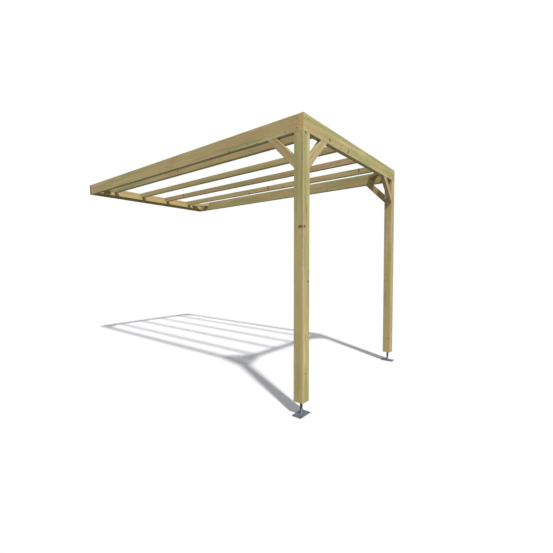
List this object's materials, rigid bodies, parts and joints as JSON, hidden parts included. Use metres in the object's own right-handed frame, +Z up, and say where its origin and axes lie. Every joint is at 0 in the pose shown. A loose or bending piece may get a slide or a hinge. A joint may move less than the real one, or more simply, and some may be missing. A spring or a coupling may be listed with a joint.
{
  "type": "lean-to pergola",
  "caption": "Open timber lean-to frame: a wall plate and a front beam on posts carry side beams and rafters, with diagonal braces in the corners and adjustable steel feet",
  "frame": {"origin": "middle of the wall plate's back face, which is fixed to the wall", "axes": "+X away from the wall, +Y to the right for someone facing the wall, +Z up; the ground is at z = -2.4275 m"},
  "size_m": [4.0125, 2.1575, 2.5],
  "materials": {
    "timber": "planed, pressure treated",
    "steel": "weathered dark zinc"
  },
  "bodies": {
    "root": {"wall_plate": "timber", "wall_ledger": "timber", "front_beam": "timber", "front_ledger": "timber", "side_beam_left": "timber", "side_beam_right": "timber", "rafter_1": "timber", "rafter_2": "timber", "rafter_3": "timber", "rafter_4": "timber", "post_left": "timber", "post_right": "timber", "knee_brace_side_left": "timber", "knee_brace_side_right": "timber", "knee_brace_front_left": "timber", "knee_brace_front_right": "timber", "corner_brace_wall_left": "timber", "corner_brace_wall_right": "timber", "corner_brace_front_left": "timber", "corner_brace_front_right": "timber", "foot_rod_left": "steel", "foot_rod_right": "steel", "foot_plate_left": "steel", "foot_plate_right": "steel"}
  },
  "joints": []
}
